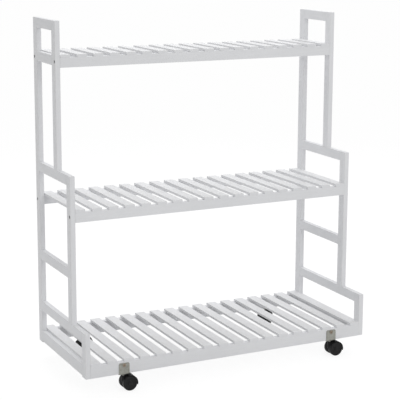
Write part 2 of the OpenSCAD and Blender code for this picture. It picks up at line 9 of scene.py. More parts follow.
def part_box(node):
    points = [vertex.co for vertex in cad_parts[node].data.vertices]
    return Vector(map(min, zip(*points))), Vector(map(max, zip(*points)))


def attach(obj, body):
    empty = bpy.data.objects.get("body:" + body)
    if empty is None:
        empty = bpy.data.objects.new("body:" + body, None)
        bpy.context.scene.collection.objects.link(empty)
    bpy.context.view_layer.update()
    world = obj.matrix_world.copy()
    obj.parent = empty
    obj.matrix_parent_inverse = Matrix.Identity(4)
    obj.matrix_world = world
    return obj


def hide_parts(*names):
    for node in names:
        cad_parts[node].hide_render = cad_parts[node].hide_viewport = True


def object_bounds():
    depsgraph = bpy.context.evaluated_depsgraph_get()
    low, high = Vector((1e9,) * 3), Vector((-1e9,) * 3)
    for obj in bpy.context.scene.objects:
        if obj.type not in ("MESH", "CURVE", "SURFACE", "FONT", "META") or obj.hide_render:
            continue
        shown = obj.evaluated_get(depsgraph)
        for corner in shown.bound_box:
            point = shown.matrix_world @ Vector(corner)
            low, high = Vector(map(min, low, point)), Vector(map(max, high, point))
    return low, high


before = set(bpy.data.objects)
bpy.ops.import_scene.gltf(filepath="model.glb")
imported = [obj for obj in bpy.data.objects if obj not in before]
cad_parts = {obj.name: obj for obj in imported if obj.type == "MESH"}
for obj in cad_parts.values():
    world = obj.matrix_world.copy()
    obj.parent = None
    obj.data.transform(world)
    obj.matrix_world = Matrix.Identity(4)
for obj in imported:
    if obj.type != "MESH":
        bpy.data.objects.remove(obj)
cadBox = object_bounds()
scene = bpy.context.scene
mm = 0.001
quarterTurn = math.pi / 2
squareCorners = ((1, 1), (-1, 1), (-1, -1), (1, -1))


def newObject(name, data):
    thing = bpy.data.objects.new(name, data)
    scene.collection.objects.link(thing)
    return thing


# Camera
cameraView = {
    "place": (-1.4545, -2.9145, 1.1276),
    "yaw": 26.388,  # degrees to the right of straight at the stand's front
    "pitch": 10.901,  # degrees downward
    "roll": 0.221,
    "lens": 114.069,
    "sensor": 36.0,
    "shiftUp": -0.075,
}


def makeCamera(view):
    yaw, pitch, roll = (math.radians(view[k]) for k in ("yaw", "pitch", "roll"))
    level = math.cos(pitch)
    ahead = Vector((math.sin(yaw) * level, math.cos(yaw) * level, -math.sin(pitch)))
    right = Vector((math.cos(yaw), -math.sin(yaw), 0))
    up = right.cross(ahead)
    tiltedRight = right * math.cos(roll) + up * math.sin(roll)
    tiltedUp = up * math.cos(roll) - right * math.sin(roll)
    data = bpy.data.cameras.new("photoCamera")
    data.lens, data.sensor_width, data.shift_y = view["lens"], view["sensor"], view["shiftUp"]
    camera = newObject("photoCamera", data)
    turned = Matrix((tiltedRight, tiltedUp, -ahead)).transposed().to_4x4()
    camera.matrix_world = Matrix.Translation(view["place"]) @ turned
    scene.camera = camera


makeCamera(cameraView)
scene.view_settings.view_transform = "Standard"
print("camera placed")


# Node helpers
floatSocket, vectorSocket, intSocket = "NodeSocketFloat", "NodeSocketVector", "NodeSocketInt"
nodeGrid = {"perRow": 9, "across": 190, "down": 230}


def addNode(tree, kind, inputs=None, **settings):
    node = tree.nodes.new(kind)
    row, column = divmod(len(tree.nodes), nodeGrid["perRow"])
    node.location = (nodeGrid["across"] * column, -nodeGrid["down"] * row)
    for key, value in settings.items():
        setattr(node, key, value)
    for key, value in (inputs or {}).items():
        if isinstance(value, bpy.types.NodeSocket):
            tree.links.new(value, node.inputs[key])
        else:
            node.inputs[key].default_value = value
    return node


def addMath(tree, operation, *values):
    return addNode(tree, "ShaderNodeMath", dict(enumerate(values)), operation=operation).outputs[0]


def addNoise(tree, vector, scale, detail, roughness):
    inputs = {"Vector": vector, "Scale": scale, "Detail": detail, "Roughness": roughness}
    return addNode(tree, "ShaderNodeTexNoise", inputs).outputs[0]


def addRamp(tree, value, fromLow, fromHigh, toLow=0.0, toHigh=1.0):
    inputs = {"Value": value, "From Min": fromLow, "From Max": fromHigh,
              "To Min": toLow, "To Max": toHigh}
    return addNode(tree, "ShaderNodeMapRange", inputs).outputs[0]


def addBlend(tree, amount, colour, other):
    # a colour Mix node keeps its colours in sockets 6 and 7 and its result in 2
    inputs = {0: amount, 6: colour, 7: other}
    return addNode(tree, "ShaderNodeMix", inputs, data_type="RGBA").outputs[2]


def addGroup(tree, group, inputs):
    return addNode(tree, "ShaderNodeGroup", inputs, node_tree=group).outputs


def newGroup(name, inputs, outputs, kind="ShaderNodeTree", outputKind=floatSocket):
    group = bpy.data.node_groups.new(name, kind)
    for label, socketKind, value in inputs:
        socket = group.interface.new_socket(label, in_out="INPUT", socket_type=socketKind)
        if value is not None:
            socket.default_value = value
    for label in outputs:
        group.interface.new_socket(label, in_out="OUTPUT", socket_type=outputKind)
    given = addNode(group, "NodeGroupInput").outputs
    return group, given, addNode(group, "NodeGroupOutput").inputs


def rgba(red, green, blue):
    return (red, green, blue, 1.0)


# Shared effects: a noise is (scale, detail, roughness), a range is (low, high)
grainLook = {
    "streaks": (240.0, 4.0, 0.6),
    "pores": (1300.0, 2.0, 0.5),
    "poreRange": (0.62, 0.7),
    "endPores": (1500.0, 3.0, 0.6),
    "endPoreRange": (0.5, 0.72),
    "peel": (620.0, 2.0, 0.45),
    "broad": (7.0, 2.0, 0.5),
    "sheen": (38.0, 3.0, 0.6),
    "sheenRange": (0.3, 0.7),
    "streakTone": 0.45,
    "broadTone": 0.55,
    "pitTone": -0.25,
    "streakRelief": 0.5,
    "peelRelief": 0.3,
    "pitRelief": -0.5,
}
wearLook = {"breakup": (140.0, 4.0, 0.65), "range": (0.38, 0.62)}
platedLook = {
    "spangle": (260.0, 5.0, 0.6),
    "lineStretch": (1.0, 1.0, 14.0),
    "lines": (420.0, 3.0, 0.7),
    "lineRange": (0.52, 0.66),
    "lineSmooths": -0.4,
    "lineDepth": -0.3,
}
mouldedLook = {
    "texture": (1500.0, 2.0, 0.5),
    "flow": (60.0, 4.0, 0.6),
    "dust": (330.0, 5.0, 0.7),
    "dustRange": (0.5, 0.75),
}


def makeGrainGroup():
    group, given, result = newGroup(
        "woodUnderPaint",
        [("Vector", vectorSocket, None), ("Grain Vector", vectorSocket, None),
         ("Ends", floatSocket, 0.0)],
        ["Tone", "Height", "Sheen Patches"],
    )
    look, calc = grainLook, partial(addMath, group)
    plain, along, ends = given["Vector"], given["Grain Vector"], given["Ends"]
    streaks = addNoise(group, along, *look["streaks"])
    pores = addRamp(group, addNoise(group, along, *look["pores"]), *look["poreRange"])
    endPores = addRamp(group, addNoise(group, plain, *look["endPores"]), *look["endPoreRange"])
    peel = addNoise(group, plain, *look["peel"])
    broad = addNoise(group, plain, *look["broad"])
    sidePits = calc("MULTIPLY", pores, calc("SUBTRACT", 1.0, ends))
    pits = calc("MAXIMUM", sidePits, calc("MULTIPLY", endPores, ends))
    patches = calc("MULTIPLY", broad, look["broadTone"])
    tone = calc("MULTIPLY_ADD", streaks, look["streakTone"], patches)
    skin = calc("MULTIPLY", peel, look["peelRelief"])
    raised = calc("MULTIPLY_ADD", streaks, look["streakRelief"], skin)
    group.links.new(calc("MULTIPLY_ADD", pits, look["pitTone"], tone), result["Tone"])
    group.links.new(calc("MULTIPLY_ADD", pits, look["pitRelief"], raised), result["Height"])
    group.links.new(addNoise(group, plain, *look["sheen"]), result["Sheen Patches"])
    return group


def makeWearGroup():
    inputs = [("Vector", vectorSocket, None), ("Edge", floatSocket, 0.0)]
    group, given, result = newGroup("edgeWear", inputs, ["Mask"])
    noise = addNoise(group, given["Vector"], *wearLook["breakup"])
    patchy = addRamp(group, noise, *wearLook["range"])
    group.links.new(addMath(group, "MULTIPLY", patchy, given["Edge"]), result["Mask"])
    return group


def makePlatedGroup():
    group, given, result = newGroup(
        "platedSurface", [("Vector", vectorSocket, None)], ["Tone", "Roughness Shift", "Height"])
    look, plain, calc = platedLook, given["Vector"], partial(addMath, group)
    cloudy = addNoise(group, plain, *look["spangle"])
    flow = {"Vector": plain, "Scale": look["lineStretch"]}
    flow = addNode(group, "ShaderNodeMapping", flow).outputs[0]
    lines = addRamp(group, addNoise(group, flow, *look["lines"]), *look["lineRange"])
    smoother = calc("MULTIPLY_ADD", lines, look["lineSmooths"], cloudy)
    group.links.new(cloudy, result["Tone"])
    group.links.new(smoother, result["Roughness Shift"])
    group.links.new(calc("MULTIPLY_ADD", lines, look["lineDepth"], cloudy), result["Height"])
    return group


def makeMouldedGroup():
    group, given, result = newGroup(
        "mouldedSkin", [("Vector", vectorSocket, None)], ["Tone", "Height", "Dust"])
    look, plain = mouldedLook, given["Vector"]
    dust = addRamp(group, addNoise(group, plain, *look["dust"]), *look["dustRange"])
    group.links.new(addNoise(group, plain, *look["flow"]), result["Tone"])
    group.links.new(addNoise(group, plain, *look["texture"]), result["Height"])
    group.links.new(dust, result["Dust"])
    return group


grainGroup, wearGroup = makeGrainGroup(), makeWearGroup()
platedGroup, mouldedGroup = makePlatedGroup(), makeMouldedGroup()


# Finishes
paintFinish = {
    "light": rgba(0.87, 0.876, 0.892),
    "shade": rgba(0.828, 0.834, 0.85),
    "toneRange": (0.36, 0.6),
    "edge": rgba(0.78, 0.765, 0.73),  # thin paint over beech at the eased edges
    "edgeShare": 0.35,
    "endFacing": (0.75, 0.9),  # where end grain begins and where it is full
    "roughness": (0.38, 0.52),
    "specular": 0.17,
    "grainStretch": 0.05,
    "relief": 0.09 * mm,
}
beechFinish = {
    "light": rgba(0.62, 0.43, 0.25),
    "dark": rgba(0.44, 0.27, 0.14),
    "toneRange": (0.3, 0.65),
    "roughness": (0.55, 0.72),
    "grainStretch": 0.08,
    "relief": 0.12 * mm,
}
zincFinish = {
    "light": rgba(0.385, 0.385, 0.35),
    "dark": rgba(0.24, 0.24, 0.215),
    "roughness": (0.38, 0.56),
    "metallic": 0.85,
    "relief": 0.03 * mm,
}
darkSteelFinish = {
    "light": rgba(0.24, 0.24, 0.245),
    "dark": rgba(0.11, 0.11, 0.115),
    "roughness": (0.35, 0.55),
    "metallic": 0.7,
    "relief": 0.02 * mm,
}
brownSteelFinish = {
    "light": rgba(0.37, 0.305, 0.24),
    "dark": rgba(0.22, 0.18, 0.142),
    "roughness": (0.34, 0.55),
    "metallic": 0.8,
    "relief": 0.02 * mm,
}
metalRanges = {"tone": (0.32, 0.68), "sheen": (0.2, 0.7)}
hoodFinish = {
    "light": rgba(0.011, 0.011, 0.0115),
    "dark": rgba(0.006, 0.006, 0.0063),
    "dust": rgba(0.04, 0.039, 0.037),
    "rough": 0.42,
    "specular": 0.2,
    "relief": 0.04 * mm,
}
wheelFinish = {
    "light": rgba(0.014, 0.014, 0.0145),
    "dark": rgba(0.007, 0.007, 0.0074),
    "dust": rgba(0.05, 0.049, 0.046),
    "rough": 0.5,
    "specular": 0.22,
    "relief": 0.05 * mm,
}
plasticRanges = {
    "tone": (0.35, 0.65),
    "sheen": (0.3, 0.7),
    "smoother": -0.06,
    "rougher": 0.08,
    "dustRoughens": 0.3,
    "dustTall": 9 * mm,  # how far above the floor dust settles
}


def emptyTree(owner):
    owner.use_nodes = True
    owner.node_tree.nodes.clear()
    return owner.node_tree


def newMaterial(name):
    material = bpy.data.materials.new(name)
    tree = emptyTree(material)
    output = addNode(tree, "ShaderNodeOutputMaterial")
    shader = addNode(tree, "ShaderNodeBsdfPrincipled")
    tree.links.new(shader.outputs[0], output.inputs["Surface"])
    coords = addNode(tree, "ShaderNodeTexCoord").outputs["Object"]
    return material, tree, shader, coords


def feedShader(tree, shader, colour, rough, height, relief):
    tree.links.new(colour, shader.inputs["Base Color"])
    tree.links.new(rough, shader.inputs["Roughness"])
    bump = addNode(tree, "ShaderNodeBump", {"Strength": 1.0, "Distance": relief, "Height": height})
    tree.links.new(bump.outputs[0], shader.inputs["Normal"])


def woodGrain(tree, coords, axis, finish, ends):
    stretch = [1.0, 1.0, 1.0]
    stretch[axis] = finish["grainStretch"]
    along = addNode(tree, "ShaderNodeMapping", {"Vector": coords, "Scale": stretch}).outputs[0]
    grain = addGroup(tree, grainGroup, {"Vector": coords, "Grain Vector": along, "Ends": ends})
    tone = addRamp(tree, grain["Tone"], *finish["toneRange"])
    rough = addRamp(tree, grain["Sheen Patches"], *grainLook["sheenRange"], *finish["roughness"])
    return grain, tone, rough


def whitePaint(axis):
    finish = paintFinish
    material, tree, shader, coords = newMaterial(f"whitePaintAlong{'XYZ'[axis]}")
    normal = addNode(tree, "ShaderNodeTexCoord").outputs["Normal"]
    facing = addNode(tree, "ShaderNodeSeparateXYZ", {0: normal}).outputs[axis]
    ends = addRamp(tree, addMath(tree, "ABSOLUTE", facing), *finish["endFacing"])
    grain, tone, rough = woodGrain(tree, coords, axis, finish, ends)
    edge = addNode(tree, "ShaderNodeAttribute", attribute_name="edge").outputs["Fac"]
    wear = addGroup(tree, wearGroup, {"Vector": coords, "Edge": edge})["Mask"]
    painted = addBlend(tree, tone, finish["shade"], finish["light"])
    thin = addMath(tree, "MULTIPLY", wear, finish["edgeShare"])
    colour = addBlend(tree, thin, painted, finish["edge"])
    shader.inputs["Specular IOR Level"].default_value = finish["specular"]
    feedShader(tree, shader, colour, rough, grain["Height"], finish["relief"])
    return material


def bareBeech(axis):
    finish = beechFinish
    material, tree, shader, coords = newMaterial(f"beechAlong{'XYZ'[axis]}")
    grain, tone, rough = woodGrain(tree, coords, axis, finish, 0.0)
    colour = addBlend(tree, tone, finish["dark"], finish["light"])
    feedShader(tree, shader, colour, rough, grain["Height"], finish["relief"])
    return material


def platedSteel(name, finish):
    material, tree, shader, coords = newMaterial(name)
    plated = addGroup(tree, platedGroup, {"Vector": coords})
    tone = addRamp(tree, plated["Tone"], *metalRanges["tone"])
    colour = addBlend(tree, tone, finish["dark"], finish["light"])
    rough = addRamp(tree, plated["Roughness Shift"], *metalRanges["sheen"], *finish["roughness"])
    shader.inputs["Metallic"].default_value = finish["metallic"]
    feedShader(tree, shader, colour, rough, plated["Height"], finish["relief"])
    return material


def blackPlastic(name, finish):
    ranges = plasticRanges
    material, tree, shader, coords = newMaterial(name)
    skin = addGroup(tree, mouldedGroup, {"Vector": coords})
    tone = addRamp(tree, skin["Tone"], *ranges["tone"])
    clean = addBlend(tree, tone, finish["dark"], finish["light"])
    low = addNode(tree, "ShaderNodeSeparateXYZ", {0: coords}).outputs[2]
    nearFloor = addRamp(tree, low, ranges["dustTall"], 0.0)
    dusty = addMath(tree, "MULTIPLY", skin["Dust"], nearFloor)
    colour = addBlend(tree, dusty, clean, finish["dust"])
    smooth, coarse = (finish["rough"] + ranges[k] for k in ("smoother", "rougher"))
    rough = addRamp(tree, skin["Tone"], *ranges["sheen"], smooth, coarse)
    rough = addMath(tree, "MULTIPLY_ADD", dusty, ranges["dustRoughens"], rough)
    shader.inputs["Specular IOR Level"].default_value = finish["specular"]
    feedShader(tree, shader, colour, rough, skin["Height"], finish["relief"])
    return material


paintAlong = [whitePaint(axis) for axis in range(3)]
beechAlong = [bareBeech(axis) for axis in range(3)]
zincSteel = platedSteel("zincSteel", zincFinish)
darkSteel = platedSteel("darkSteel", darkSteelFinish)
brownSteel = platedSteel("passivatedSteel", brownSteelFinish)
hoodPlastic = blackPlastic("hoodPlastic", hoodFinish)
wheelPlastic = blackPlastic("wheelPlastic", wheelFinish)
print("finishes made")


# Mesh helpers
meshCare = {
    "mergeWithin": 0.002 * mm,
    "sharpAngle": 38.0,  # degrees
    "normalWeight": 90,
}


def newMesh(name, points, faces):
    mesh = bpy.data.meshes.new(name)
    mesh.from_pydata(points, [], faces)
    return mesh


def turnOutward(mesh, mergeWithin=0.0):
    shape = bmesh.new()
    shape.from_mesh(mesh)
    if mergeWithin:
        bmesh.ops.remove_doubles(shape, verts=shape.verts, dist=mergeWithin)
    bmesh.ops.recalc_face_normals(shape, faces=shape.faces)
    shape.to_mesh(mesh)
    shape.free()
    return mesh


def closedMesh(name, points, faces):
    return turnOutward(newMesh(name, points, faces), meshCare["mergeWithin"])


def evaluatedMesh(thing):
    bpy.context.view_layer.update()
    graph = bpy.context.evaluated_depsgraph_get()
    return bpy.data.meshes.new_from_object(thing.evaluated_get(graph), depsgraph=graph)


def withModifiers(mesh, settings):
    # settings is a list of (kind, {setting: value}), and the result is a plain mesh
    made = newObject("underWork", mesh)
    for kind, values in settings:
        modifier = made.modifiers.new(kind.lower(), kind)
        for key, value in values.items():
            setattr(modifier, key, value)
    result = evaluatedMesh(made)
    bpy.data.objects.remove(made)
    return result


def cutWith(mesh, *cutters):
    tools = [newObject("cutter", cutter) for cutter in cutters]
    result = withModifiers(mesh, [
        ("BOOLEAN", {"operation": "DIFFERENCE", "solver": "EXACT", "object": tool})
        for tool in tools
    ])
    for tool in tools:
        bpy.data.objects.remove(tool)
    return result


def finishShading(mesh):
    mesh.shade_smooth()
    mesh.set_sharp_from_angle(angle=math.radians(meshCare["sharpAngle"]))
    weighted = {"keep_sharp": True, "weight": meshCare["normalWeight"]}
    return withModifiers(mesh, [("WEIGHTED_NORMAL", weighted)])


def joinMeshes(name, meshes):
    shape = bmesh.new()
    for mesh in meshes:
        shape.from_mesh(mesh)
    joined = bpy.data.meshes.new(name)
    shape.to_mesh(joined)
    shape.free()
    return joined


def moved(mesh, matrix):
    copy = mesh.copy()
    copy.transform(matrix)
    return copy


def camel(node):
    first, *rest = node.split("_")
    return first + "".join(word.capitalize() for word in rest)


def addPiece(node, mesh, material, body="stand"):
    # a piece takes the place of one CAD node and is named after it
    name, mesh = camel(node), finishShading(mesh)
    mesh.name = name
    mesh.materials.clear()
    mesh.materials.append(material)
    piece = newObject(name, mesh)
    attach(piece, body)
    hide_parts(node)


def lathe(name, profile, segments):
    # profile is a list of (radius, height) from the lower pole to the upper one
    points, rings = [], []
    for radius, height in profile:
        if radius < 1e-9:
            rings.append([len(points)] * segments)
            points.append((0, 0, height))
        else:
            rings.append(list(range(len(points), len(points) + segments)))
            for k in range(segments):
                turn = 2 * math.pi * k / segments
                points.append((radius * math.cos(turn), radius * math.sin(turn), height))
    faces = []
    for lower, upper in zip(rings, rings[1:]):
        for k in range(segments):
            ahead = (k + 1) % segments
            corners = [lower[k], lower[ahead], upper[ahead], upper[k]]
            loop = [c for i, c in enumerate(corners) if c not in corners[:i]]
            if len(loop) > 2:
                faces.append(loop)
    return closedMesh(name, points, faces)


def arc(centre, radius, fromAngle, toAngle, steps):
    turns = [math.radians(fromAngle + (toAngle - fromAngle) * i / steps) for i in range(steps + 1)]
    return [(centre[0] + radius * math.cos(t), centre[1] + radius * math.sin(t)) for t in turns]


def middle(node):
    low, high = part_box(node)
    return (low + high) / 2


# Painted sticks
stickShape = {
    "edgeRound": 1.0 * mm,
    "railRound": 0.5 * mm,  # on the long rails, filled with paint under the slats
    "freeEndRound": 1.0 * mm,
    "jointRound": 0.1 * mm,  # leaves the fine seam of a butt joint
    "leastRound": 0.08 * mm,
    "arcSteps": 5,
}
boltShape = {
    "headRadius": 4.25 * mm,
    "headTall": 4.5 * mm,
    "key": 4 * mm,
    "keyDeep": 2.5 * mm,
    "keyTip": 0.6 * mm,
    "keyOver": 1 * mm,  # how far its cutter stands out of the head
    "recessRadius": 4.5 * mm,
    "recessDeep": 6 * mm,
    "recessLip": 0.35 * mm,
    "recessOver": 2 * mm,
    "shankRadius": 2.5 * mm,
    "shankLong": 43 * mm,
    "soft": 0.35 * mm,
    "softSteps": 3,
    "sides": 36,
    "recessSides": 40,
    "riseAboveMiddle": 2 * mm,  # above the middle of the rail that it holds
    "seeds": {"top": 3, "middle": 4},  # for how each head's key is turned
}
recesses = {  # the posts that carry bolt heads, and the rail ends that these hold
    "rear_post": (("top", "back"), ("middle", "back")),
    "upper_post": (("top", "front"),),
    "middle_post": (("middle", "front"),),
}
postNames = ("rear_post", "upper_post", "middle_post", "front_post")
railNames = ("top_rail", "shelf_rail", "middle_rail", "rung", "lower_rail", "bottom_rail")
shelfNames = ("top", "middle", "bottom")
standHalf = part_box("rear_post_right")[1].x


def roundedSection(width, height, edgeRound, inset, steps):
    # (place across, place up, edge strength) round a rectangle that is shrunk by inset
    radius = max(edgeRound - inset, stickShape["leastRound"])
    halfWide, halfTall = width / 2 - inset - radius, height / 2 - inset - radius
    loop = []
    for index, (u, v) in enumerate(squareCorners):
        for step in range(steps + 1):
            turn = quarterTurn * (index + step / steps)
            across, up = radius * math.cos(turn), radius * math.sin(turn)
            strength = math.sin(math.pi * step / steps)
            loop.append((u * halfWide + across, v * halfTall + up, strength))
    return loop


def stickMesh(name, low, high, axis, edgeRound, lowRound, highRound):
    first, second = (axis + 1) % 3, (axis + 2) % 3
    steps = stickShape["arcSteps"]
    turns = [quarterTurn * step / steps for step in range(steps + 1)]
    stations = []  # (place along the stick, inset, strength of the end's edge)
    for end, inward, size in ((low[axis], 1, lowRound), (high[axis], -1, highRound)):
        stations += sorted((end + inward * size * (1 - math.sin(t)), size * (1 - math.cos(t)),
                            math.sin(2 * t)) for t in turns)
    points, strengths, faces = [], [], []
    centre = ((low[first] + high[first]) / 2, (low[second] + high[second]) / 2)
    wide, tall = high[first] - low[first], high[second] - low[second]
    for along, inset, endStrength in stations:
        for u, v, strength in roundedSection(wide, tall, edgeRound, inset, steps):
            point = [0.0, 0.0, 0.0]
            point[axis], point[first], point[second] = along, centre[0] + u, centre[1] + v
            points.append(point)
            strengths.append(max(strength, endStrength))
    around = len(squareCorners) * (steps + 1)
    for near in range(0, (len(stations) - 1) * around, around):
        far = near + around
        for k in range(around):
            ahead = (k + 1) % around
            faces.append((near + k, near + ahead, far + ahead, far + k))
    faces.append(list(range(around))[::-1])
    faces.append([(len(stations) - 1) * around + k for k in range(around)])
    mesh = newMesh(name, points, faces)
    mesh.attributes.new("edge", "FLOAT", "POINT").data.foreach_set("value", strengths)
    return mesh


def boltHeight(shelf):
    return middle(f"{shelf}_front_rail").z + boltShape["riseAboveMiddle"]


def recessCutter(side, shelf, end):
    # the drilled recess over a bolt's head, with a soft painted lip
    radius, deep, lip = (boltShape[k] for k in ("recessRadius", "recessDeep", "recessLip"))
    over = boltShape["recessOver"]
    profile = [(0, -deep), (radius, -deep)]
    profile += arc((radius + lip, -lip), lip, 180, 90, boltShape["softSteps"])
    profile += [(radius + lip, over), (0, over)]
    cutter = lathe("recess", profile, boltShape["recessSides"])
    place = (side * standHalf, middle(f"{shelf}_{end}_rail").y, boltHeight(shelf))
    cutter.transform(Matrix.Translation(place) @ Matrix.Rotation(side * quarterTurn, 4, "Y"))
    return cutter


def addStick(node, axis, edgeRound, lowRound, highRound, cutters=()):
    mesh = stickMesh(node, *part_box(node), axis, edgeRound, lowRound, highRound)
    if cutters:
        mesh = cutWith(mesh, *cutters)
    addPiece(node, mesh, paintAlong[axis])


def addSticks():
    free, joint, eased = (stickShape[k] for k in ("freeEndRound", "jointRound", "edgeRound"))
    for sideName, side in (("left", -1), ("right", 1)):
        for post in postNames:
            cutters = [recessCutter(side, shelf, end) for shelf, end in recesses.get(post, ())]
            foot = joint if post in ("upper_post", "middle_post") else free
            addStick(f"{post}_{sideName}", 2, eased, foot, free, cutters)
        for rail in railNames:
            addStick(f"{rail}_{sideName}", 1, eased, joint, joint)
    for shelf in shelfNames:
        for end in ("front", "back"):
            addStick(f"{shelf}_{end}_rail", 0, stickShape["railRound"], joint, joint)


addSticks()
print("posts and rails built")


# Geometry Nodes helpers
def geometryTree(name, inputs):
    return newGroup(name, inputs, ["Geometry"], "GeometryNodeTree", "NodeSocketGeometry")


def addGeometry(tree, kind, inputs=None, output=0, **settings):
    return addNode(tree, "GeometryNode" + kind, inputs, **settings).outputs[output]


def addVector(tree, x=0.0, y=0.0, z=0.0):
    return addNode(tree, "ShaderNodeCombineXYZ", {0: x, 1: y, 2: z}).outputs[0]


def addPosition(tree):
    position = addGeometry(tree, "InputPosition")
    return position, addNode(tree, "ShaderNodeSeparateXYZ", {0: position}).outputs


def addRandom(tree, low, high, seed):
    inputs = {2: low, 3: high, "Seed": seed}
    return addNode(tree, "FunctionNodeRandomValue", inputs, data_type="FLOAT").outputs[1]


def endTree(tree, instances, material, result):
    real = addGeometry(tree, "RealizeInstances", {"Geometry": instances})
    done = addGeometry(tree, "SetMaterial", {"Geometry": real, "Material": material})
    tree.links.new(done, result[0])


def runTree(tree, values):
    carrier = newObject("carrier", bpy.data.meshes.new("carrier"))
    modifier = carrier.modifiers.new("nodes", "NODES")
    modifier.node_group = tree
    for item in tree.interface.items_tree:
        if item.in_out == "INPUT" and item.name in values:
            modifier[item.identifier] = values[item.name]
    mesh = evaluatedMesh(carrier)
    carrier.modifiers.clear()
    bpy.data.objects.remove(carrier)
    return mesh


# Slats
slatShape = {
    "count": 18,
    "width": 26 * mm,
    "thickness": 7 * mm,
    "topRound": 2 * mm,
    "underRound": 0.25 * mm,
    "cornerPoints": 4,
    "rows": 14,  # rows of points along a slat
    "endRows": 5,  # those of them in each eased end
    "middleShare": 0.3,  # where the rows between the ends lie, as a share of the length
    "wornFrom": 0.71,  # share of the top round at which its edge counts in full
    "sideGap": 0.3 * mm,
    "wander": 0.12 * mm,  # how far a slat may lie off its place
    "skew": 0.03,  # degrees
    "seed": 7,
    "seedStep": 10,  # from one shelf to the next
}


def makeSlatTree():
    shape = slatShape
    tree, given, result = geometryTree("slatRow", [
        ("Count", intSocket, shape["count"]),
        ("First Place", vectorSocket, None),
        ("Pitch", floatSocket, 0.0),
        ("Width", floatSocket, shape["width"]),
        ("Thickness", floatSocket, shape["thickness"]),
        ("Length", floatSocket, 0.0),
        ("Top Round", floatSocket, shape["topRound"]),
        ("Under Round", floatSocket, shape["underRound"]),
        ("Wander", floatSocket, shape["wander"]),
        ("Skew", floatSocket, math.radians(shape["skew"])),
        ("Seed", intSocket, shape["seed"]),
        ("Material", "NodeSocketMaterial", None),
    ])
    calc, build = partial(addMath, tree), partial(addGeometry, tree)
    minus, times, least, most = (
        partial(calc, kind) for kind in ("SUBTRACT", "MULTIPLY", "MINIMUM", "MAXIMUM"))
    width, thick, length = given["Width"], given["Thickness"], given["Length"]
    topRound, underRound = given["Top Round"], given["Under Round"]
    # section, with larger corners on top
    outline = build("CurvePrimitiveQuadrilateral", {"Width": width, "Height": thick})
    onTop = calc("GREATER_THAN", addPosition(tree)[1][1], 0.0)
    radius = calc("MULTIPLY_ADD", onTop, minus(topRound, underRound), underRound)
    section = build("FilletCurve", {
        "Curve": outline, "Radius": radius, "Count": shape["cornerPoints"]}, mode="POLY")
    # path with close rows at both ends
    rows, endRows = shape["rows"], shape["endRows"]
    line = build("CurvePrimitiveLine", {"End": (0.0, 1.0, 0.0)})
    path = build("ResampleCurve", {"Curve": line, "Count": rows})
    index = build("InputIndex")
    fromEnd = least(index, minus(rows - 1.0, index))
    turn = times(least(fromEnd, float(endRows)), quarterTurn / endRows)
    inward = times(topRound, minus(1.0, calc("COSINE", turn)))
    between = calc("GREATER_THAN", fromEnd, endRows + 0.5)
    further = times(between, times(length, shape["middleShare"]))
    reach = calc("ADD", inward, further)
    farHalf = calc("GREATER_THAN", index, rows / 2 - 0.5)
    fromFar = minus(length, reach)
    place = calc("MULTIPLY_ADD", farHalf, minus(fromFar, reach), reach)
    path = build("SetPosition", {"Geometry": path, "Position": addVector(tree, y=place)})
    body = build("CurveToMesh", {"Curve": path, "Profile Curve": section, "Fill Caps": True})
    # eased upper corners at the ends
    spot = addPosition(tree)[1]
    halfThick = times(thick, 0.5)
    endGap = least(spot[1], minus(length, spot[1]))
    short = most(minus(topRound, endGap), 0.0)
    squares = minus(times(topRound, topRound), times(short, short))
    bow = calc("SQRT", most(squares, 0.0))
    shoulder = minus(halfThick, topRound)
    lowered = least(spot[2], calc("ADD", shoulder, bow))
    lifted = calc("ADD", lowered, halfThick)
    # how strongly the eased edges show, kept for the paint
    flat = minus(times(width, 0.5), topRound)
    across = minus(calc("ABSOLUTE", spot[0]), flat)
    up = minus(lowered, shoulder)
    corner = most(least(across, up), least(short, up))
    fullAt = times(topRound, shape["wornFrom"])
    strength = calc("DIVIDE", most(corner, 0.0), fullAt)
    body = build("StoreNamedAttribute", {
        "Geometry": body, "Name": "edge", "Value": least(strength, 1.0)})
    body = build("SetPosition", {
        "Geometry": body, "Position": addVector(tree, spot[0], spot[1], lifted)})
    # the row, each slat a hair off its place
    row = build("MeshLine", {
        "Count": given["Count"], "Start Location": given["First Place"],
        "Offset": addVector(tree, x=given["Pitch"])})
    slide = addRandom(tree, -1.0, 1.0, given["Seed"])
    twist = addRandom(tree, -1.0, 1.0, calc("ADD", given["Seed"], 1.0))
    shifted = build("SetPosition", {
        "Geometry": row, "Offset": addVector(tree, x=times(slide, given["Wander"]))})
    placed = build("InstanceOnPoints", {
        "Points": shifted, "Instance": body,
        "Rotation": addVector(tree, z=times(twist, given["Skew"]))})
    endTree(tree, placed, given["Material"], result)
    return tree


def addSlats():
    tree = makeSlatTree()
    for number, shelf in enumerate(shelfNames):
        low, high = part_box(f"{shelf}_slats")
        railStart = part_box(f"{shelf}_front_rail")[0].x
        first = railStart + slatShape["sideGap"] + slatShape["width"] / 2
        mesh = runTree(tree, {
            "First Place": (first, low.y, low.z),
            "Pitch": -2 * first / (slatShape["count"] - 1),
            "Length": high.y - low.y,
            "Seed": slatShape["seed"] + slatShape["seedStep"] * number,
            "Material": paintAlong[1],
        })
        print(shelf, "shelf has", slatShape["count"], "slats and", len(mesh.polygons), "faces")
        addPiece(f"{shelf}_slats", turnOutward(mesh), paintAlong[1])


addSlats()


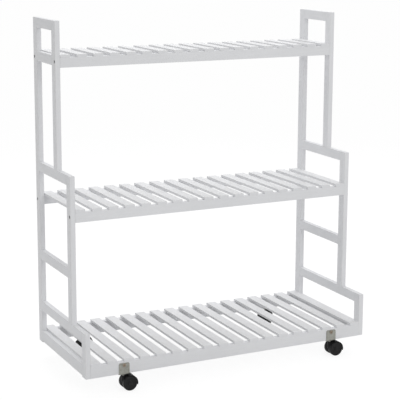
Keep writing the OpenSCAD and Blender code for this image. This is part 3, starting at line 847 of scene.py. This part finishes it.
# Bolts, screws, brackets and stems
casterShape = {
    "inset": 101 * mm,  # from the stand's side to the front swivel axes
    "rearIn": 9 * mm,  # how much farther in the rear ones sit
    "trail": 13 * mm,
    "wheelRadius": 18.5 * mm,
    "wheelWide": 11 * mm,
    "wheelGap": 0.5 * mm,
    "webThick": 11 * mm,
    "turns": {"front_left": 0, "front_right": 0, "rear_left": -50, "rear_right": 220},
}
bracketShape = {
    "wide": 28 * mm,
    "sheet": 2 * mm,
    "bendRadius": 1.3 * mm,  # to the middle of the sheet
    "bendSteps": 8,
    "bendRunIn": 3 * mm,
    "cornerRound": 4 * mm,
    "cornerRows": (0, 0.06, 0.2, 0.4, 0.65, 1),  # as shares of the corner's radius
    "columns": 9,
    "legRow": 0.4,  # the upright leg's one plain row, as a share of the height from its top
    "edgeBevel": 0.22 * mm,
    "bevelSteps": 2,
    "bevelAbove": 50,  # degrees
    "screwBelowTop": 5.5 * mm,
}
screwPoint = {"tipShare": 0.4, "tipTall": 0.8 * mm, "taper": 3 * mm}
faceScrewShape = {
    "headRadius": 4.5 * mm,
    "headTall": 2.6 * mm,
    "rimShare": 0.42,  # of the head's height
    "rimSoft": (0.2 * mm, 0.1 * mm),  # below and above
    "domeSteps": 7,
    "shankRadius": 2 * mm,
    "shankLong": 12 * mm,
    "cross": (4.6 * mm, 1.1 * mm, 1.5 * mm),  # span, width and depth
    "crossSink": 0.25 * mm,
    "turn": 0.5,  # radians, of its cross
    "sides": 36,
}
plateScrewShape = {
    "headRadius": 3 * mm,
    "rimSoft": 0.12 * mm,
    "shankRadius": 1.5 * mm,
    "shankLong": 14 * mm,
    "cross": (3.6 * mm, 0.9 * mm, 1.2 * mm),
    "apart": 20 * mm,
    "sides": 32,
    "seeds": ((-1, 11), (1, 12)),  # side of the stem, and the seed of the crosses' turns
}
crossTaper = {"floor": 0.55, "above": 1.15, "aboveTall": 0.6 * mm, "widthShare": 0.3}
stemShape = {
    "radius": 3.5 * mm,
    "footSoft": 0.5 * mm,
    "collarRadius": 4.5 * mm,
    "collarTall": 3.2 * mm,
    "collarSoft": 0.25 * mm,
    "headSoft": 0.3 * mm,
    "headSlope": 1 * mm,
    "sides": 40,
}
casterX = standHalf - casterShape["inset"]
casterY = middle("bottom_back_rail").y
bracketLow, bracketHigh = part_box("caster_brackets")
railLow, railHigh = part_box("bottom_back_rail")
railHalf = (railHigh.y - railLow.y) / 2


def makeCornerTree():
    tree, given, result = geometryTree("fourCorners", [
        ("Source", "NodeSocketObject", None),
        ("Spread Across", floatSocket, 1.0),
        ("Spread Deep", floatSocket, 1.0),
        ("Rear In", floatSocket, 0.0),
        ("Centre", vectorSocket, None),
        ("Facing", vectorSocket, None),  # corners on its far side are turned about
        ("Spin Axis", vectorSocket, None),
        ("Seed", intSocket, 0),
        ("Material", "NodeSocketMaterial", None),
    ])
    calc, build = partial(addMath, tree), partial(addGeometry, tree)
    grid = build("MeshGrid", {
        "Size X": given["Spread Across"], "Size Y": given["Spread Deep"],
        "Vertices X": 2, "Vertices Y": 2})
    position, spot = addPosition(tree)
    atRear = calc("GREATER_THAN", spot[1], 0.0)
    inward = calc("MULTIPLY", calc("SIGN", spot[0]), calc("MULTIPLY", atRear, -1.0))
    corners = build("SetPosition", {
        "Geometry": grid, "Offset": addVector(tree, x=calc("MULTIPLY", inward, given["Rear In"]))})
    dot = addNode(tree, "ShaderNodeVectorMath", {0: position, 1: given["Facing"]},
                  operation="DOT_PRODUCT").outputs["Value"]
    about = addVector(tree, z=calc("MULTIPLY", calc("LESS_THAN", dot, 0.0), math.pi))
    spin = addRandom(tree, 0.0, quarterTurn, given["Seed"])
    ownSpin = addNode(tree, "ShaderNodeVectorMath", {0: given["Spin Axis"], "Scale": spin},
                      operation="SCALE").outputs[0]
    angles = addNode(tree, "ShaderNodeVectorMath", {0: ownSpin, 1: about}, operation="ADD")
    source = build("ObjectInfo", {"Object": given["Source"]}, "Geometry")
    placed = build("InstanceOnPoints", {
        "Points": corners, "Instance": source, "Rotation": angles.outputs[0]})
    centred = build("TranslateInstances", {
        "Instances": placed, "Translation": given["Centre"], "Local Space": False})
    endTree(tree, centred, given["Material"], result)
    return tree


cornerTree = makeCornerTree()


def atCorners(mesh, across, deep, centre, facing, spinAxis, seed, material, rearIn=0.0):
    source = newObject("cornerSource", mesh)
    made = runTree(cornerTree, {
        "Source": source, "Spread Across": across, "Spread Deep": deep, "Rear In": rearIn,
        "Centre": centre, "Facing": facing, "Spin Axis": spinAxis, "Seed": seed,
        "Material": material})
    bpy.data.objects.remove(source)
    return made


def makeBolt():
    # lies along X, with its head's face at zero and its shank inward
    shape, over = boltShape, boltShape["keyOver"]
    head, tall, shank, soft = (shape[k] for k in ("headRadius", "headTall", "shankRadius", "soft"))
    tip = -tall - shape["shankLong"]
    profile = [(0, tip), (shank - soft, tip), (shank, tip + soft), (shank, -tall), (head, -tall)]
    profile += arc((head - soft, -soft), soft, 0, 90, shape["softSteps"]) + [(0, 0)]
    keyRadius, keyDeep = shape["key"] / math.sqrt(3), shape["keyDeep"]
    keyProfile = [(0, -keyDeep - shape["keyTip"]), (keyRadius, -keyDeep), (keyRadius, over),
                  (0, over)]
    bolt = cutWith(lathe("bolt", profile, shape["sides"]), lathe("socket", keyProfile, 6))
    bolt.transform(Matrix.Rotation(quarterTurn, 4, "Y"))
    return bolt


def crossRecess(span, wide, deep):
    # two tapered bars that open upward from zero
    taper, bars = crossTaper, []
    for turn in (0, quarterTurn):
        points = []
        for height, share in ((-deep, taper["floor"]), (taper["aboveTall"], taper["above"])):
            widthNow = wide * (1 - taper["widthShare"] * (1 - share))
            points += [(u * span * share / 2, v * widthNow / 2, height) for u, v in squareCorners]
        faces = [(0, 1, 2, 3), (4, 5, 6, 7), (0, 1, 5, 4), (1, 2, 6, 5), (2, 3, 7, 6), (3, 0, 4, 7)]
        bar = closedMesh("bar", points, faces)
        bar.transform(Matrix.Rotation(turn, 4, "Z"))
        bars.append(bar)
    return bars


def pointedShank(radius, long):
    tip = (screwPoint["tipShare"] * radius, -long + screwPoint["tipTall"])
    return [(0, -long), tip, (radius, -long + screwPoint["taper"])]


def makeFaceScrew():
    # stands along Z, with the underside of its domed head at zero
    shape = faceScrewShape
    head, tall, shank = (shape[k] for k in ("headRadius", "headTall", "shankRadius"))
    rim, steps = tall * shape["rimShare"], shape["domeSteps"]
    under, upper = shape["rimSoft"]
    profile = pointedShank(shank, shape["shankLong"])
    profile += [(shank, 0), (head - under, 0), (head, under), (head, rim - upper)]
    profile += [(head * x, rim + (tall - rim) * z) for x, z in arc((0, 0), 1, 0, 90, steps)]
    cutters = crossRecess(*shape["cross"])
    for cutter in cutters:
        cutter.transform(Matrix.Translation((0, 0, tall - shape["crossSink"])))
    return cutWith(lathe("faceScrew", profile, shape["sides"]), *cutters)


def makePlateScrew():
    # countersunk, with its face at zero and its shank upward
    shape = plateScrewShape
    head, shank, soft = (shape[k] for k in ("headRadius", "shankRadius", "rimSoft"))
    profile = pointedShank(shank, shape["shankLong"])
    profile += [(shank, shank - head), (head, -soft), (head - soft, 0), (0, 0)]
    screw = lathe("plateScrew", profile, shape["sides"])
    screw = cutWith(screw, *crossRecess(*shape["cross"]))
    screw.transform(Matrix.Rotation(math.pi, 4, "X"))
    return screw


def makeBracket():
    # for a front caster: upright leg on the rail's face, lower leg under the rail
    shape = bracketShape
    half, bend, corner = shape["sheet"] / 2, shape["bendRadius"], shape["cornerRound"]
    face, back, low, high = -railHalf - half, railHalf, bracketLow.z, bracketHigh.z
    under = low + half
    path = [(face, high - share * corner) for share in shape["cornerRows"]]
    path += [(face, high - shape["legRow"] * (high - low)),
             (face, under + bend + shape["bendRunIn"])]
    path += arc((face + bend, under + bend), bend, 180, 270, shape["bendSteps"])
    path += [(back - share * corner, under) for share in shape["cornerRows"][::-1]]
    travelled = [0.0]
    for (y0, z0), (y1, z1) in zip(path, path[1:]):
        travelled.append(travelled[-1] + math.hypot(y1 - y0, z1 - z0))
    columns = shape["columns"]
    points, faces = [], []
    for (y, z), gone in zip(path, travelled):
        short = max(corner - min(gone, travelled[-1] - gone), 0)
        halfWide = shape["wide"] / 2 - corner + math.sqrt(max(corner ** 2 - short ** 2, 0))
        points += [(halfWide * (2 * k / (columns - 1) - 1), y, z) for k in range(columns)]
    for row in range(len(path) - 1):
        for first in range(row * columns, (row + 1) * columns - 1):
            faces.append((first, first + 1, first + columns + 1, first + columns))
    return withModifiers(newMesh("sheet", points, faces), [
        ("SOLIDIFY", {"thickness": shape["sheet"], "offset": 0.0, "use_even_offset": True}),
        ("BEVEL", {"width": shape["edgeBevel"], "segments": shape["bevelSteps"],
                   "limit_method": "ANGLE", "angle_limit": math.radians(shape["bevelAbove"])}),
    ])


def makeStem():
    # the swivel pin with a collar under the sheet and a riveted head over it
    shape = stemShape
    low, high = (corner.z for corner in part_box("caster_stems"))
    pin, collar, soft = shape["radius"], shape["collarRadius"], shape["collarSoft"]
    under, over = bracketLow.z, bracketLow.z + bracketShape["sheet"]
    collarLow = under - shape["collarTall"]
    profile = [
        (0, low), (pin - shape["footSoft"], low), (pin, low + shape["footSoft"]),
        (pin, collarLow), (collar - soft, collarLow), (collar, collarLow + soft),
        (collar, under - soft), (collar - soft, under), (pin, under), (pin, over), (collar, over),
        (collar - shape["headSoft"], high - shape["headSoft"]),
        (collar - shape["headSlope"], high), (0, high),
    ]
    return lathe("stem", profile, shape["sides"])


def addBolts():
    across = 2 * (standHalf - boltShape["recessDeep"] + boltShape["headTall"])
    bolts = []
    for shelf, seed in boltShape["seeds"].items():
        front, back = middle(f"{shelf}_front_rail").y, middle(f"{shelf}_back_rail").y
        centre = (0, (front + back) / 2, boltHeight(shelf))
        bolts.append(atCorners(makeBolt(), across, back - front, centre, (1, 0, 0), (1, 0, 0),
                               seed, darkSteel))
    addPiece("shelf_bolts", joinMeshes("bolts", bolts), darkSteel)


def atCasters(mesh, material, height=0, wider=0, spinAxis=(0, 0, 0), seed=0):
    return atCorners(mesh, 2 * casterX + wider, 2 * casterY, (0, 0, height), (0, -1, 0), spinAxis,
                     seed, material, casterShape["rearIn"])


def addCasterFittings():
    brackets = atCasters(makeBracket(), zincSteel)
    addPiece("caster_brackets", brackets, zincSteel)

    screw = makeFaceScrew()
    outward = Matrix.Rotation(quarterTurn, 4, "X") @ Matrix.Rotation(faceScrewShape["turn"], 4, "Z")
    screw.transform(Matrix.Translation((0, -railHalf - bracketShape["sheet"], 0)) @ outward)
    screws = atCasters(screw, brownSteel, bracketHigh.z - bracketShape["screwBelowTop"])
    addPiece("face_screws", screws, brownSteel)

    pairs = [
        atCasters(makePlateScrew(), zincSteel, bracketLow.z, way * plateScrewShape["apart"],
                  (0, 0, 1), seed)
        for way, seed in plateScrewShape["seeds"]
    ]
    addPiece("plate_screws", joinMeshes("plateScrews", pairs), zincSteel)
    addPiece("caster_stems", atCasters(makeStem(), zincSteel), zincSteel)


addBolts()
addCasterFittings()
print("bolts, brackets, screws and stems built")


# Casters
hoodShape = {
    "fenderInner": 19.3 * mm,
    "fenderOuter": 20.8 * mm,
    "fromAngle": -15,
    "toAngle": 100,
    "fenderSteps": 40,
    "bossLow": 17.5 * mm,
    "bossHigh": 37.5 * mm,
    "bossSides": 48,
    "hubRadius": 16 * mm,
    "hubSides": 45,
    "voxel": 0.42 * mm,
    "smoothing": 0.5,
    "smoothPasses": 3,
    "facesKept": 0.35,
}
wheelShape = {
    "rimRound": 2 * mm,
    "rim": 4 * mm,
    "hubRadius": 5.5 * mm,
    "dish": 1.4 * mm,
    "sides": 96,
    "rimSteps": 6,
    "soft": 0.4 * mm,
    "softSteps": 3,
    "innerFlat": 3 * mm,  # from the inner face's last ring to its rounding
    "ring": (9.2 * mm, 10.6 * mm),  # the raised ring in the dish, inside and outside
    "ringSlope": 0.3 * mm,
    "ringTall": 0.35 * mm,
    "cap": ((3.2 * mm, 0.15 * mm), (1.2 * mm, 0.25 * mm), (0, 0.25 * mm)),  # radius and rise
}
trail, wheelRadius, wheelWide = (casterShape[k] for k in ("trail", "wheelRadius", "wheelWide"))
webHalf = casterShape["webThick"] / 2
wheelInner = webHalf + casterShape["wheelGap"]
casterHalf = wheelInner + wheelWide


def slab(outline, thick):
    # outline is in (x, z) round the axle
    count = len(outline)
    points = [(trail + x, side * thick, wheelRadius + z) for side in (-1, 1) for x, z in outline]
    faces = [list(range(count)), list(range(count, 2 * count))]
    faces += [(k, (k + 1) % count, count + (k + 1) % count, count + k) for k in range(count)]
    return closedMesh("slab", points, faces)


def makeHood():
    shape = hoodShape
    low, high, steps = shape["fromAngle"], shape["toAngle"], shape["fenderSteps"]
    outer = arc((0, 0), shape["fenderOuter"], low, high, steps)
    inner = arc((0, 0), shape["fenderInner"], high, low, steps)
    sides = shape["hubSides"]
    hub = arc((0, 0), shape["hubRadius"], 0, 360 - 360 / sides, sides - 1)
    bossLow, bossHigh = shape["bossLow"], shape["bossHigh"]
    boss = [(0, bossLow), (webHalf, bossLow), (webHalf, bossHigh), (0, bossHigh)]
    ribLow, ribHigh = bossLow - wheelRadius, bossHigh - wheelRadius
    rib = [(-trail, ribLow), (0, ribLow), (0, ribHigh), (-trail, ribHigh)]
    joined = joinMeshes("hood", [
        slab(outer + inner, casterHalf), slab([(0, 0)] + outer, webHalf), slab(hub, webHalf),
        slab(rib, webHalf), lathe("boss", boss, shape["bossSides"])])
    return withModifiers(joined, [
        ("REMESH", {"mode": "VOXEL", "voxel_size": shape["voxel"], "use_smooth_shade": True}),
        ("SMOOTH", {"factor": shape["smoothing"], "iterations": shape["smoothPasses"]}),
        ("DECIMATE", {"ratio": shape["facesKept"]}),
    ])


def makeWheel():
    # turns about Z, with its inner face at zero and its dished face up
    shape = wheelShape
    soft, rimRound, hub = shape["soft"], shape["rimRound"], shape["hubRadius"]
    rimInner, tread = wheelRadius - shape["rim"], wheelRadius - rimRound
    dish = wheelWide - shape["dish"]
    (ringIn, ringOut), slope = shape["ring"], shape["ringSlope"]
    ringTop = dish + shape["ringTall"]
    rimSteps, softSteps = shape["rimSteps"], shape["softSteps"]
    profile = [(0, 0), (tread - shape["innerFlat"], 0)]
    profile += arc((tread, rimRound), rimRound, -90, 0, rimSteps)
    profile += arc((tread, wheelWide - rimRound), rimRound, 0, 90, rimSteps)
    profile += arc((rimInner + soft, wheelWide - soft), soft, 90, 180, softSteps)
    profile += arc((rimInner - soft, dish + soft), soft, 0, -90, softSteps)
    profile += [(ringOut, dish), (ringOut - slope, ringTop), (ringIn + slope, ringTop),
                (ringIn, dish)]
    profile += arc((hub + soft, dish + soft), soft, -90, -180, softSteps)
    profile += arc((hub - soft, wheelWide - soft), soft, 0, 90, softSteps)
    profile += [(radius, wheelWide + rise) for radius, rise in shape["cap"]]
    return lathe("wheel", profile, shape["sides"])


def addCasters():
    hood, wheel = makeHood(), makeWheel()
    print("a hood has", len(hood.polygons), "faces and a wheel has", len(wheel.polygons))
    axle = Matrix.Translation((trail, 0, wheelRadius))
    outward = Matrix.Translation((0, 0, wheelInner))
    for corner, turn in casterShape["turns"].items():
        side, end = (-1 if "left" in corner else 1), (-1 if "front" in corner else 1)
        away = casterX if end < 0 else casterX - casterShape["rearIn"]
        place = Matrix.Translation((side * away, end * casterY, 0))
        place @= Matrix.Rotation(math.radians(turn), 4, "Z")
        addPiece(f"{corner}_hood", moved(hood, place), hoodPlastic,
                 f"{corner}_caster")
        for wheelName, way in (("wheel_left", -1), ("wheel_right", 1)):
            local = axle @ Matrix.Rotation(-way * quarterTurn, 4, "X") @ outward
            addPiece(f"{corner}_{wheelName}", moved(wheel, place @ local), wheelPlastic,
                     f"{corner}_caster_{wheelName}")


addCasters()
print("casters built")


# Finishes of the CAD's own nodes, of which the inner parts and the axles stay
nodeFinish = {  # by part of a node's name, of which the first that fits counts
    "face_screws": brownSteel,
    "bolts": darkSteel,
    "hood": hoodPlastic,
    "wheel": wheelPlastic,
    "frame_dowels": beechAlong[1],
    "shelf_dowels": beechAlong[0],
    "front_rail": paintAlong[0],
    "back_rail": paintAlong[0],
    "post": paintAlong[2],
    "rail": paintAlong[1],
    "rung": paintAlong[1],
    "slats": paintAlong[1],
    "": zincSteel,
}
for name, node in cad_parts.items():
    node.data.materials.clear()
    node.data.materials.append(next(nodeFinish[part] for part in nodeFinish if part in name))
print("inner parts finished")


# Floor, world and lamps
studio = {
    "ambient": 0.6,
    "backdrop": 1.0,  # seen by the camera and in reflections only
    "floorColour": rgba(0.8, 0.8, 0.8),
    "floorShadow": 0.2,  # how strongly the floor shows the shadow
    "floorGlow": 0.87,
    "floorReach": 30.0,
}
lamps = {  # place, size, power and colour of each soft square lamp
    "frontLamp": ((0.1, -2.4, 1.6), 1.0, 10.0, (1.0, 1.0, 1.0)),
    "rightLamp": ((1.5, 1.0, 2.0), 1.5, 9.6, (0.965, 0.97, 1.0)),
    "backLamp": ((0.0, 1.2, 2.0), 1.5, 10.1, (0.965, 0.97, 1.0)),
}
white = rgba(1.0, 1.0, 1.0)


def endInMix(tree, output, lit, seen):
    # the first shader lights the stand, and the second is what is seen directly
    path = addNode(tree, "ShaderNodeLightPath").outputs
    direct = addMath(tree, "MAXIMUM", path["Is Camera Ray"], path["Is Glossy Ray"])
    direct = addMath(tree, "MAXIMUM", direct, path["Is Transmission Ray"])
    mix = addNode(tree, "ShaderNodeMixShader", {0: direct, 1: lit.outputs[0], 2: seen.outputs[0]})
    tree.links.new(mix.outputs[0], addNode(tree, output).inputs["Surface"])


def makeWorld():
    scene.world = bpy.data.worlds.new("studioWorld")
    tree = emptyTree(scene.world)
    ambient, backdrop = (
        addNode(tree, "ShaderNodeBackground", {"Color": white, "Strength": studio[k]})
        for k in ("ambient", "backdrop")
    )
    endInMix(tree, "ShaderNodeOutputWorld", ambient, backdrop)


def makeFloor():
    material = bpy.data.materials.new("studioFloor")
    tree = emptyTree(material)
    faintGrey = rgba(*[studio["floorShadow"]] * 3)
    plain = addNode(tree, "ShaderNodeBsdfDiffuse", {"Color": studio["floorColour"]})
    faint = addNode(tree, "ShaderNodeBsdfDiffuse", {"Color": faintGrey})
    glow = addNode(tree, "ShaderNodeEmission", {"Color": white, "Strength": studio["floorGlow"]})
    seen = addNode(tree, "ShaderNodeAddShader", {0: faint.outputs[0], 1: glow.outputs[0]})
    endInMix(tree, "ShaderNodeOutputMaterial", plain, seen)
    reach = studio["floorReach"]
    corners = [(-u * reach, -v * reach, 0) for u, v in squareCorners]
    floor = newObject("floor", newMesh("floor", corners, [(0, 1, 2, 3)]))
    floor.data.materials.append(material)


def makeLamp(name, place, size, power, colour):
    data = bpy.data.lights.new(name, "AREA")
    data.shape, data.size, data.energy, data.color = "SQUARE", size, power, colour
    lamp = newObject(name, data)
    lamp.location = place
    lamp.visible_camera = False
    towards = lamp.location - (cadBox[0] + cadBox[1]) / 2
    lamp.rotation_euler = towards.to_track_quat("Z", "Y").to_euler()


makeWorld()
makeFloor()
for lampName, values in lamps.items():
    makeLamp(lampName, *values)
print("studio lit")
